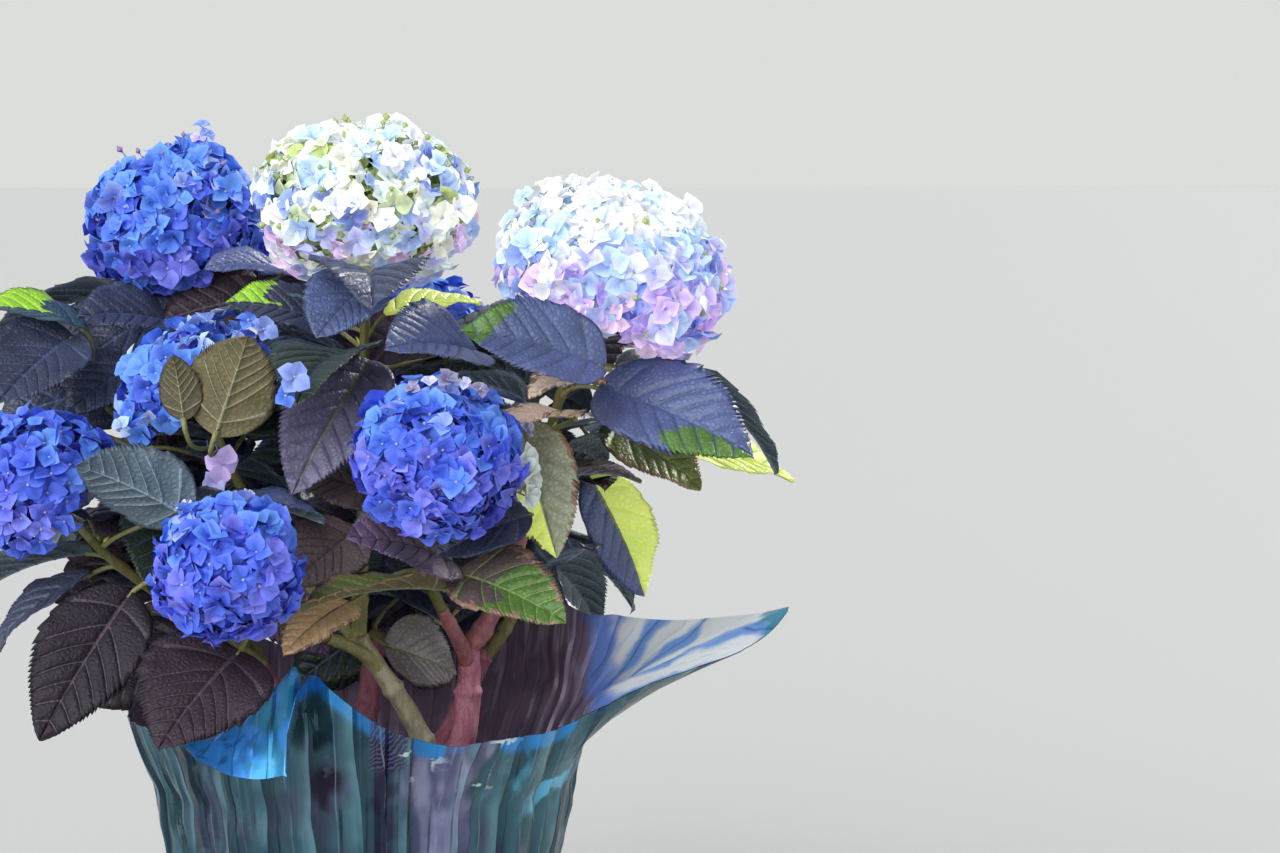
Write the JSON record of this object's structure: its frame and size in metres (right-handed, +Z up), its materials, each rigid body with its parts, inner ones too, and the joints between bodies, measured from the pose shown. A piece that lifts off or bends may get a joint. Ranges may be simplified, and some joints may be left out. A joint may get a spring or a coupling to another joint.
{
  "type": "potted hydrangea",
  "caption": "Potted shrub with large toothed leaves and round flower heads on forked woody stems, in a nursery pot wrapped in a square sheet of foil.",
  "frame": {"origin": "centre of the foil wrap's flat underside, on the surface that the pot stands on", "axes": "+Z up along the pot's axis, -Y towards the side of the plant that faces the viewer, +X to the viewer's right"},
  "size_m": [0.4894, 0.442, 0.5492],
  "materials": {
    "foil": "crinkled metallised film, teal",
    "pot_plastic": "plain moulded plastic, dark green",
    "potting_mix": "coarse moist bark and peat",
    "woody_stem": "reddish-brown bark",
    "green_stem": "green and brown young bark",
    "leaf": "quilted, satin, dark slate green to plum",
    "blue_petal": "soft satin, blue to violet",
    "pale_petal": "soft satin, cream to pale blue and lilac"
  },
  "bodies": {
    "root": {"foil_wrap": "foil", "pot": "pot_plastic", "potting_mix": "potting_mix", "stem_right": "woody_stem", "stem_front": "woody_stem", "stem_left": "woody_stem", "stem_back": "woody_stem", "stem_back_right": "woody_stem", "bough_right": "green_stem", "bough_front": "green_stem", "bough_top": "green_stem", "bough_left": "green_stem", "bough_low_front": "green_stem", "bough_far_left": "green_stem", "bough_upper_left": "green_stem", "bough_left_tip": "green_stem", "bough_back_top": "green_stem", "bough_back_left": "green_stem", "bough_back": "green_stem", "bough_back_right": "green_stem", "bough_right_tip": "green_stem", "bough_back_tip": "green_stem", "leaves_right": "leaf", "leaves_front": "leaf", "leaves_top": "leaf", "leaves_left": "leaf", "leaves_low_front": "leaf", "leaves_far_left": "leaf", "leaves_upper_left": "leaf", "leaves_left_tip": "leaf", "leaves_back_top": "leaf", "leaves_back_left": "leaf", "leaves_back": "leaf", "leaves_back_right": "leaf", "leaves_right_tip": "leaf", "leaves_back_tip": "leaf", "flower_head_right": "pale_petal", "flower_head_top": "pale_petal", "flower_head_front": "blue_petal", "flower_head_left": "blue_petal", "flower_head_low_front": "blue_petal", "flower_head_far_left": "blue_petal", "flower_head_upper_left": "blue_petal", "flower_head_back_top": "blue_petal", "flower_head_back_left": "blue_petal", "flower_head_back": "blue_petal", "flower_head_back_right": "blue_petal"}
  },
  "joints": []
}
